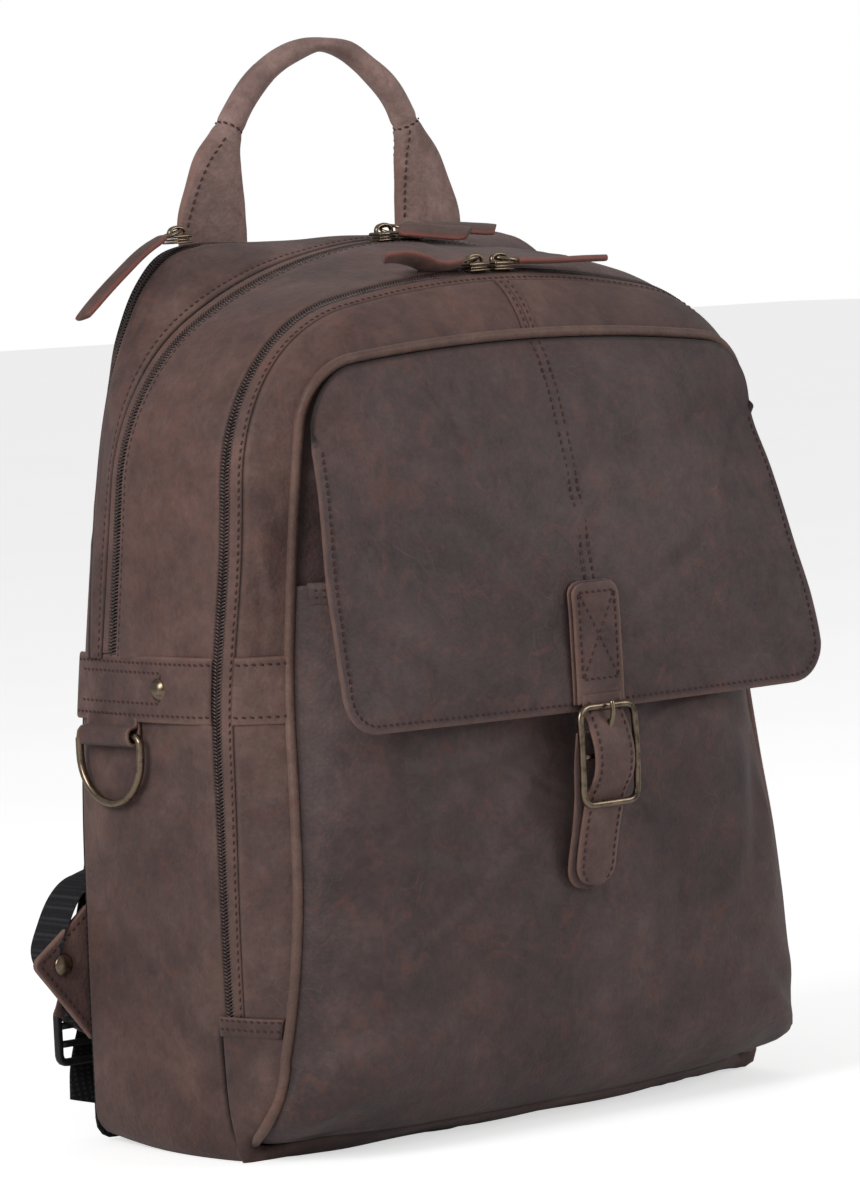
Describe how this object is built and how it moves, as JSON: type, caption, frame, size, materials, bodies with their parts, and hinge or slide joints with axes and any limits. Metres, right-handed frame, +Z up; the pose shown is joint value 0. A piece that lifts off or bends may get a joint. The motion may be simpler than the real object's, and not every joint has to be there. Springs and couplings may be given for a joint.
{
  "type": "leather backpack",
  "caption": "Leather backpack with an arched body in zipped compartments, a buckled front pocket flap, a rolled top handle, side rings and padded shoulder straps.",
  "frame": {"origin": "on the floor, at the middle of the flat bottom panel the bag stands on, 65 mm forward of the back panel", "axes": "+X sideways, to the right of someone looking at the front; +Y to the back, towards the wearer; +Z up"},
  "size_m": [0.358, 0.2167, 0.4795],
  "materials": {
    "body_leather": "matt oiled nubuck, mottled",
    "front_leather": "matt oiled nubuck, darker and smoother",
    "trim_leather": "matt, paler along its edges",
    "pull_leather": "matt with raw reddish edges",
    "lining": "plain woven",
    "foam": "padding under spacer mesh",
    "board": "plain stiffener",
    "core_cord": "twisted cord",
    "zip_tape": "woven tape",
    "zip_coil": "dark nylon coil",
    "webbing": "ribbed black webbing",
    "black_plastic": "matt",
    "antique_brass": "antique, rubbed bright on its edges"
  },
  "bodies": {
    "bag": {"back_foam": "foam", "back_panel": "body_leather", "back_welt": "body_leather", "base_board": "board", "bottom_panel": "body_leather", "compartment_divider": "lining", "flap_yoke": "front_leather", "front_gusset": "body_leather", "front_gusset_base": "body_leather", "front_panel": "front_leather", "laptop_divider": "lining", "lower_gusset": "body_leather", "main_gusset": "body_leather", "piping": "trim_leather", "pocket_panel": "front_leather", "rear_gusset": "body_leather", "ring_loops": "body_leather", "rivets": "antique_brass", "side_bands": "body_leather", "snap_socket": "antique_brass", "strap_anchors": "body_leather", "strap_yoke": "body_leather", "webbing_left": "webbing", "webbing_right": "webbing", "zip_coils": "zip_coil", "zip_tapes": "zip_tape"},
    "flap": {"flap": "front_leather", "flap_lining": "lining", "flap_tab": "trim_leather", "closure_strap": "trim_leather", "under_strap": "trim_leather", "buckle_frame": "antique_brass", "snap_stud": "antique_brass"},
    "prong": {"buckle_prong": "antique_brass"},
    "handle": {"handle_leather": "trim_leather", "handle_core": "core_cord"},
    "ring_left": {"d_ring_left": "antique_brass"},
    "ring_right": {"d_ring_right": "antique_brass"},
    "laptop_slider": {"laptop_slider": "antique_brass"},
    "laptop_pull": {"laptop_link": "antique_brass", "laptop_pull": "pull_leather"},
    "main_left_slider": {"main_left_slider": "antique_brass"},
    "main_left_pull": {"main_left_link": "antique_brass", "main_left_pull": "pull_leather"},
    "main_right_slider": {"main_right_slider": "antique_brass"},
    "main_right_pull": {"main_right_link": "antique_brass", "main_right_pull": "pull_leather"},
    "front_left_slider": {"front_left_slider": "antique_brass"},
    "front_left_pull": {"front_left_link": "antique_brass", "front_left_pull": "pull_leather"},
    "front_right_slider": {"front_right_slider": "antique_brass"},
    "front_right_pull": {"front_right_link": "antique_brass", "front_right_pull": "pull_leather"},
    "strap_left": {"shoulder_strap_left": "body_leather", "ladder_lock_left": "black_plastic"},
    "strap_right": {"shoulder_strap_right": "body_leather", "ladder_lock_right": "black_plastic"}
  },
  "joints": [
    {"name": "flap_lift", "type": "hinge", "parent": "bag", "child": "flap", "pos_m": [0, -0.09, 0.3005], "axis": [-1, 0, 0], "range_deg": [0, 130]},
    {"name": "prong_swing", "type": "hinge", "parent": "flap", "child": "prong", "pos_m": [0, -0.109, 0.161], "axis": [1, 0, 0], "range_deg": [0, 20]},
    {"name": "handle_swing", "type": "hinge", "parent": "bag", "child": "handle", "pos_m": [0, 0.061, 0.3885], "axis": [1, 0, 0], "range_deg": [-60, 60]},
    {"name": "ring_left_swing", "type": "hinge", "parent": "bag", "child": "ring_left", "pos_m": [-0.1575, 0.035, 0.1785], "axis": [0, 1, 0], "range_deg": [0, 100]},
    {"name": "ring_right_swing", "type": "hinge", "parent": "bag", "child": "ring_right", "pos_m": [0.1575, 0.035, 0.1785], "axis": [0, -1, 0], "range_deg": [0, 100]},
    {"name": "laptop_travel", "type": "hinge", "parent": "bag", "child": "laptop_slider", "pos_m": [-0.09, 0.052, 0.326], "axis": [0, -1, 0], "range_deg": [0, 50]},
    {"name": "laptop_pull_lift", "type": "hinge", "parent": "laptop_slider", "child": "laptop_pull", "pos_m": [-0.09162, 0.052, 0.39088], "axis": [0, 1, 0], "range_deg": [0, 80]},
    {"name": "main_left_travel", "type": "hinge", "parent": "bag", "child": "main_left_slider", "pos_m": [0, 0.013, 0.168], "axis": [0, -1, 0], "range_deg": [0, 25]},
    {"name": "main_left_pull_lift", "type": "hinge", "parent": "main_left_slider", "child": "main_left_pull", "pos_m": [-0.00716, 0.013, 0.38778], "axis": [-0.6153, -0.788, -0.02], "range_deg": [0, 80]},
    {"name": "main_right_travel", "type": "hinge", "parent": "bag", "child": "main_right_slider", "pos_m": [0, 0.013, 0.168], "axis": [0, 1, 0], "range_deg": [0, 25]},
    {"name": "main_right_pull_lift", "type": "hinge", "parent": "main_right_slider", "child": "main_right_pull", "pos_m": [0.00716, 0.013, 0.38778], "axis": [0.1391, -0.9903, -0.0045], "range_deg": [0, 80]},
    {"name": "front_left_travel", "type": "hinge", "parent": "bag", "child": "front_left_slider", "pos_m": [0, -0.04598, -0.082], "axis": [0, -1, 0], "range_deg": [0, 10]},
    {"name": "front_left_pull_lift", "type": "hinge", "parent": "front_left_slider", "child": "front_left_pull", "pos_m": [-0.00708, -0.04598, 0.37284], "axis": [0, 1, 0], "range_deg": [0, 80]},
    {"name": "front_right_travel", "type": "hinge", "parent": "bag", "child": "front_right_slider", "pos_m": [0, -0.04598, -0.082], "axis": [0, 1, 0], "range_deg": [0, 10]},
    {"name": "front_right_pull_lift", "type": "hinge", "parent": "front_right_slider", "child": "front_right_pull", "pos_m": [0.00708, -0.04598, 0.37284], "axis": [0, -1, 0], "range_deg": [0, 80]},
    {"name": "strap_left_swing", "type": "hinge", "parent": "bag", "child": "strap_left", "pos_m": [-0.045, 0.069, 0.374], "axis": [1, 0, 0], "range_deg": [0, 10]},
    {"name": "strap_right_swing", "type": "hinge", "parent": "bag", "child": "strap_right", "pos_m": [0.045, 0.069, 0.374], "axis": [1, 0, 0], "range_deg": [0, 10]}
  ]
}
